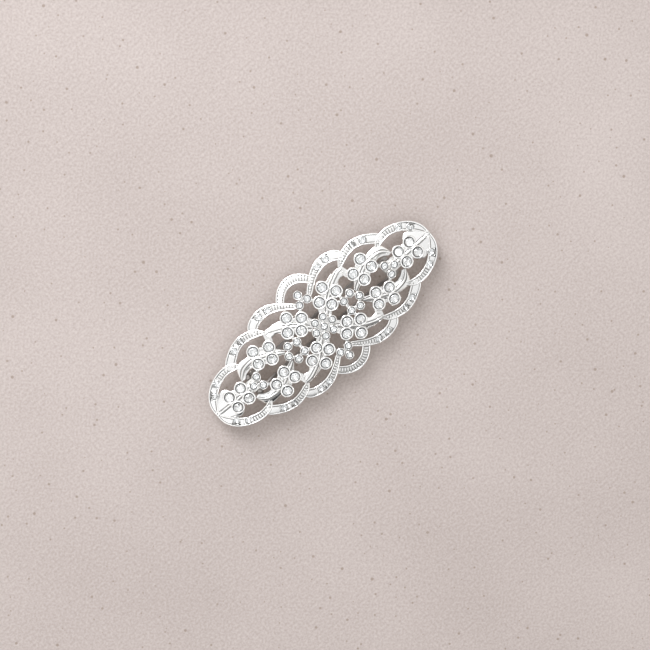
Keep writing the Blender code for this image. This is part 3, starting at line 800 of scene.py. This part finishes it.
group, given, made = new_group("plating_wear_and_shade", [
    ("Bright", "NodeSocketColor", (0.9, 0.9, 0.9, 1)), ("Recess_Shade", "NodeSocketColor", (0.3, 0.29, 0.28, 1)),
    ("Recess", "NodeSocketFloat", 0.0), ("Polish", "NodeSocketFloat", 0.12),
    ("Scuff", "NodeSocketFloat", 0.1), ("Stretch", "NodeSocketVector", (1, 1, 1)),
], [("Color", "NodeSocketColor"), ("Roughness", "NodeSocketFloat"), ("Height", "NodeSocketFloat")])
place = add_node(group, "ShaderNodeTexCoord", {}).outputs["Object"]
stretched = add_node(
    group, "ShaderNodeVectorMath", {0: place, 1: given.outputs["Stretch"]}, operation="MULTIPLY").outputs[0]
cloud = add_node(group, "ShaderNodeTexNoise", {"Vector": place, "Scale": 420.0, "Detail": 4.0}).outputs["Fac"]
scuffs = add_node(group, "ShaderNodeTexNoise", {
    "Vector": stretched, "Scale": 3600.0, "Detail": 5.0, "Roughness": 0.7}).outputs["Fac"]
broken = add_node(group, "ShaderNodeMapRange", {
    "Value": cloud, "From Min": 0.3, "From Max": 0.7, "To Min": 0.75, "To Max": 1.1})
# dark is the painted shade: the recess attribute, broken up a little by the cloud, mixes the colour toward
# the shade colour.
dark = add_node(
    group, "ShaderNodeMath", {0: given.outputs["Recess"], 1: broken.outputs[0]}, operation="MULTIPLY",
    use_clamp=True).outputs[0]
colour = add_node(
    group, "ShaderNodeMix", {0: dark, 6: given.outputs["Bright"], 7: given.outputs["Recess_Shade"]},
    data_type="RGBA").outputs[2]
uneven = add_node(
    group, "ShaderNodeMapRange", {"Value": scuffs, "From Min": 0.35, "From Max": 0.7, "To Min": 0.0,
                                  "To Max": given.outputs["Scuff"]}).outputs[0]
rough = add_node(group, "ShaderNodeMath", {0: given.outputs["Polish"], 1: uneven}, operation="ADD").outputs[0]
rough = add_node(group, "ShaderNodeMath", {0: dark, 1: 0.25, 2: rough}, operation="MULTIPLY_ADD").outputs[0]
waves = add_node(group, "ShaderNodeMath", {0: cloud, 1: 3.0, 2: scuffs}, operation="MULTIPLY_ADD").outputs[0]
group.links.new(colour, made.inputs["Color"])
group.links.new(rough, made.inputs["Roughness"])
group.links.new(waves, made.inputs["Height"])
plating_wear_and_shade = group
print(plating_wear_and_shade.name, "has", len(plating_wear_and_shade.nodes), "nodes")


def metal_finish(name, bright, recess_shade, polish, scuff, stretch, bump):
    """A metal whose colour and polish come from the wear group and the recess attribute; its second colour is
    the painted shade in the hollows.
    """
    material = bpy.data.materials.new(name)
    material.use_nodes = True
    tree = material.node_tree
    shader = tree.nodes["Principled BSDF"]
    shader.inputs["Metallic"].default_value = 1.0
    recess = add_node(tree, "ShaderNodeAttribute", {}, attribute_name="recess").outputs["Fac"]
    wear = add_node(tree, "ShaderNodeGroup", {}, node_tree=plating_wear_and_shade)
    for label, value in (
        ("Bright", bright), ("Recess_Shade", recess_shade), ("Polish", polish), ("Scuff", scuff), ("Stretch", stretch),
    ):
        wear.inputs[label].default_value = value
    tree.links.new(recess, wear.inputs["Recess"])
    relief = add_node(tree, "ShaderNodeBump", {
        "Strength": bump, "Distance": 0.00002, "Height": wear.outputs["Height"]})
    tree.links.new(wear.outputs["Color"], shader.inputs["Base Color"])
    tree.links.new(wear.outputs["Roughness"], shader.inputs["Roughness"])
    tree.links.new(relief.outputs["Normal"], shader.inputs["Normal"])
    return material


# The second colour of each finish is the painted shade in its recesses.
finishes = {
    "silver_plate": metal_finish(
        "bright_silver_plate", (0.85, 0.847, 0.84, 1), (0.26, 0.255, 0.248, 1), 0.14, 0.14, (1, 1, 1), 0.3),
    "bracket_plate": metal_finish(
        "dull_plated_brass", (0.8, 0.79, 0.77, 1), (0.3, 0.29, 0.28, 1), 0.22, 0.22, (1, 1, 1), 0.6),
    # The spring steel is given a dark colour as painted shade, so that the clasp under the plate reads as
    # shadow where it shows through the openings.
    "spring_steel": metal_finish(
        "shade_darkened_spring_steel", (0.36, 0.34, 0.325, 1), (0.2, 0.19, 0.18, 1), 0.34, 0.2, (0.08, 1.6, 1.6),
        0.8),
}
print(len(finishes), "metal finishes from one group")

# %% [markdown]
# ## Glass and foil
# The crown is plain clear glass with a little dust on it. The foil is a mirror seen from inside the stone,
# slightly warm and never perfectly even, because it is painted on.

# %% Materials of the stones
glass = bpy.data.materials.new("clear_crystal")
glass.use_nodes = True
shader = glass.node_tree.nodes["Principled BSDF"]
shader.inputs["Transmission Weight"].default_value = 1.0
shader.inputs["IOR"].default_value = 1.56
place = add_node(glass.node_tree, "ShaderNodeTexCoord", {}).outputs["Object"]
haze = add_node(glass.node_tree, "ShaderNodeTexNoise", {"Vector": place, "Scale": 900.0, "Detail": 3.0})
film = add_node(glass.node_tree, "ShaderNodeMapRange", {
    "Value": haze.outputs["Fac"], "From Min": 0.45, "From Max": 0.8, "To Min": 0.01, "To Max": 0.09})
tint = add_node(glass.node_tree, "ShaderNodeValToRGB", {"Fac": haze.outputs["Fac"]})
tint.color_ramp.elements[0].color = (1.0, 1.0, 1.0, 1)
tint.color_ramp.elements[1].color = (0.95, 0.965, 0.98, 1)
glass.node_tree.links.new(film.outputs[0], shader.inputs["Roughness"])
glass.node_tree.links.new(tint.outputs["Color"], shader.inputs["Base Color"])

foil = bpy.data.materials.new("mirror_foil")
foil.use_nodes = True
shader = foil.node_tree.nodes["Principled BSDF"]
shader.inputs["Metallic"].default_value = 1.0
place = add_node(foil.node_tree, "ShaderNodeTexCoord", {}).outputs["Object"]
speckle = add_node(foil.node_tree, "ShaderNodeTexNoise", {"Vector": place, "Scale": 1500.0, "Detail": 3.0})
silvering = add_node(foil.node_tree, "ShaderNodeValToRGB", {"Fac": speckle.outputs["Fac"]})
silvering.color_ramp.elements[0].color = (0.76, 0.77, 0.78, 1)
silvering.color_ramp.elements[1].color = (0.94, 0.94, 0.93, 1)
even = add_node(foil.node_tree, "ShaderNodeMapRange", {
    "Value": speckle.outputs["Fac"], "To Min": 0.06, "To Max": 0.2})
foil.node_tree.links.new(silvering.outputs["Color"], shader.inputs["Base Color"])
foil.node_tree.links.new(even.outputs[0], shader.inputs["Roughness"])

for piece in pieces.values():
    if piece["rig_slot"] == "crystal":
        piece.data.materials.append(glass)
        piece.data.materials.append(foil)
    else:
        piece.data.materials.append(finishes[piece["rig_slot"]])
print(len(pieces), "pieces have their finish")

# %% [markdown]
# ## Floor
# The clip lies on a pale, warm, slightly mottled board with a few dark flecks in it. A little light comes
# up from the board itself: it stands in for the light that the silver throws down under the clip. The board
# lies a hair under the clip, so that the two never share a face, and its back is clear, so that it can be
# looked through from below.

# %% Floor
FLOOR_SIZE = 1.5
FLOOR_DROP = 0.00003
BOARD_GLOW = (0.085, 0.067, 0.052, 1)
BOARD_DARK = (0.218, 0.19, 0.184, 1)
BOARD_LIGHT = (0.404, 0.365, 0.358, 1)
FLECK_COLOUR = (0.15, 0.115, 0.095, 1)
work = bmesh.new()
bmesh.ops.create_grid(work, x_segments=2, y_segments=2, size=FLOOR_SIZE)
bmesh.ops.translate(work, verts=work.verts, vec=(0, 0, -FLOOR_DROP))
shape = bpy.data.meshes.new("studio_floor")
work.to_mesh(shape)
work.free()
floor = bpy.data.objects.new("studio_floor", shape)
bpy.context.scene.collection.objects.link(floor)
floor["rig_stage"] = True

board = bpy.data.materials.new("warm_grey_board")
board.use_nodes = True
tree = board.node_tree
shader = tree.nodes["Principled BSDF"]
shader.inputs["Roughness"].default_value = 0.85
shader.inputs["Specular IOR Level"].default_value = 0.15
shader.inputs["Emission Color"].default_value = BOARD_GLOW
shader.inputs["Emission Strength"].default_value = 1.0
place = add_node(tree, "ShaderNodeTexCoord", {}).outputs["Object"]
pulp = add_node(tree, "ShaderNodeTexNoise", {
    "Vector": place, "Scale": 1300.0, "Detail": 5.0, "Roughness": 0.6})
patches = add_node(tree, "ShaderNodeTexNoise", {"Vector": place, "Scale": 14.0, "Detail": 3.0})
flecks = add_node(
    tree, "ShaderNodeTexVoronoi", {"Vector": place, "Scale": 210.0}, voronoi_dimensions="2D")
fleck_size = add_node(
    tree, "ShaderNodeMath", {0: flecks.outputs["Color"], 1: 0.24, 2: -0.1}, operation="MULTIPLY_ADD")
inside = add_node(
    tree, "ShaderNodeMath", {0: fleck_size.outputs[0], 1: flecks.outputs["Distance"]}, operation="SUBTRACT")
fleck_mask = add_node(tree, "ShaderNodeMapRange", {
    "Value": inside.outputs[0], "From Min": 0.0, "From Max": 0.04, "To Min": 0.0, "To Max": 0.7})
blend = add_node(tree, "ShaderNodeMath", {
    0: patches.outputs["Fac"], 1: 0.35, 2: pulp.outputs["Fac"]}, operation="MULTIPLY_ADD")
base = add_node(tree, "ShaderNodeValToRGB", {"Fac": blend.outputs[0]})
base.color_ramp.elements[0].position = 0.35
base.color_ramp.elements[1].position = 1.0
base.color_ramp.elements[0].color = BOARD_DARK
base.color_ramp.elements[1].color = BOARD_LIGHT
paper = add_node(
    tree, "ShaderNodeMix", {0: fleck_mask.outputs[0], 6: base.outputs["Color"], 7: FLECK_COLOUR},
    data_type="RGBA")
tree.links.new(paper.outputs[2], shader.inputs["Base Color"])
relief = add_node(tree, "ShaderNodeBump", {
    "Strength": 0.12, "Distance": 0.00008, "Height": pulp.outputs["Fac"]})
tree.links.new(relief.outputs["Normal"], shader.inputs["Normal"])
behind = add_node(tree, "ShaderNodeNewGeometry", {}).outputs["Backfacing"]
clear = add_node(tree, "ShaderNodeBsdfTransparent", {})
seen = add_node(tree, "ShaderNodeMixShader", {0: behind, 1: shader.outputs[0], 2: clear.outputs[0]})
tree.links.new(seen.outputs[0], tree.nodes["Material Output"].inputs["Surface"])
floor.data.materials.append(board)
print("the floor's top is", round(FLOOR_DROP / MM, 3), "mm under the clip")

# %% [markdown]
# ## Light
# Polished silver shows whatever is round it, so the room matters as much as the metal. A bright tent of
# light keeps it white, and the tent is a touch stronger on the window's side. One dark card, low on the far
# side, gives the metal something dark to mirror, which draws the fine grey lines. Three soft lights stand
# inside the tent: the low window light reaches in under the clip, the key light gives the shadow its
# direction, and the fill light softens it.

# %% Light
TENT_LOW = (1.0, 0.88, 0.77, 1)
TENT_HIGH = (1.0, 1.0, 1.0, 1)
CARD_COLOUR = (0.02, 0.02, 0.02, 1)
CARD_WAY = Vector((-0.35, -0.9, 0.2)).normalized()
CARD_EDGE = (0.89, 0.93)
WINDOW_GAIN = 1.12
LIGHTS = [
    ("low_window_light", (0.1, 0.95, 0.42), 0.5, 12.0), ("key_light", (0.22, 0.74, 0.72), 0.4, 4.6),
    ("fill_light", (-0.7, -0.3, 0.8), 0.9, 1.6),
]
world = bpy.data.worlds.new("light_tent")
bpy.context.scene.world = world
world.use_nodes = True
tree = world.node_tree
way = add_node(tree, "ShaderNodeTexCoord", {}).outputs["Generated"]
parts = add_node(tree, "ShaderNodeSeparateXYZ", {0: way})
tent = add_node(tree, "ShaderNodeValToRGB", {"Fac": parts.outputs["Z"]})
tent.color_ramp.elements[0].position = 0.0
tent.color_ramp.elements[0].color = TENT_LOW
tent.color_ramp.elements[1].position = 0.4
tent.color_ramp.elements[1].color = TENT_HIGH
toward = add_node(
    tree, "ShaderNodeVectorMath", {0: way, 1: CARD_WAY}, operation="DOT_PRODUCT").outputs["Value"]
card = add_node(tree, "ShaderNodeMapRange", {
    "Value": toward, "From Min": CARD_EDGE[0], "From Max": CARD_EDGE[1]})
lit = add_node(
    tree, "ShaderNodeMix", {0: card.outputs[0], 6: tent.outputs["Color"], 7: CARD_COLOUR}, data_type="RGBA")
window_side = add_node(tree, "ShaderNodeMapRange", {
    "Value": parts.outputs["Y"], "From Min": -0.7, "From Max": 0.7, "To Min": 1.0, "To Max": WINDOW_GAIN})
background = tree.nodes["Background"]
tree.links.new(lit.outputs[2], background.inputs["Color"])
tree.links.new(window_side.outputs[0], background.inputs["Strength"])


def add_soft_light(name, spot, size, power):
    """A square soft light aimed at the clip, placed in metres."""
    data = bpy.data.lights.new(name, "AREA")
    data.shape = "SQUARE"
    data.size = size
    data.energy = power
    lamp = bpy.data.objects.new(name, data)
    bpy.context.scene.collection.objects.link(lamp)
    lamp.location = spot
    lamp.rotation_euler = (-Vector(spot)).to_track_quat("-Z", "Y").to_euler()


for light in LIGHTS:
    add_soft_light(*light)
print(len(LIGHTS), "soft lights,", sum(light[3] for light in LIGHTS), "W together")

# %% [markdown]
# ## Camera
# The clip is seen from nearly straight above, turned so that it runs from the lower left to the upper
# right. A long lens from a distance keeps its two ends the same size, as it would for a catalogue.

# %% Camera
CAMERA_LENS = 132.9
CAMERA_PLACE = (0.02626, 0.15195, 0.75578)
CAMERA_TURN = (-9.975, -6.030, -40.509)
camera_data = bpy.data.cameras.new("camera")
camera_data.lens = CAMERA_LENS
camera_data.sensor_width = 36.0
camera = bpy.data.objects.new("camera", camera_data)
bpy.context.scene.collection.objects.link(camera)
camera.location = CAMERA_PLACE
camera.rotation_euler = [math.radians(angle) for angle in CAMERA_TURN]
bpy.context.scene.camera = camera
bpy.context.scene.view_settings.view_transform = "Standard"
print("the camera is", round(camera.location.length, 3), "m away")

# %% [markdown]
# ## Size
# The finished clip has to fill the same box as the imported one, because other parts are fitted to that. Both
# boxes are measured, and the two sizes are printed side by side.

# %% Measure the size of the finished clip
visual_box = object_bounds()
for label, box in (("packed", cad_box), ("finished", visual_box)):
    print(label, [round((high - low) / MM, 2) for low, high in zip(*box)], "mm")
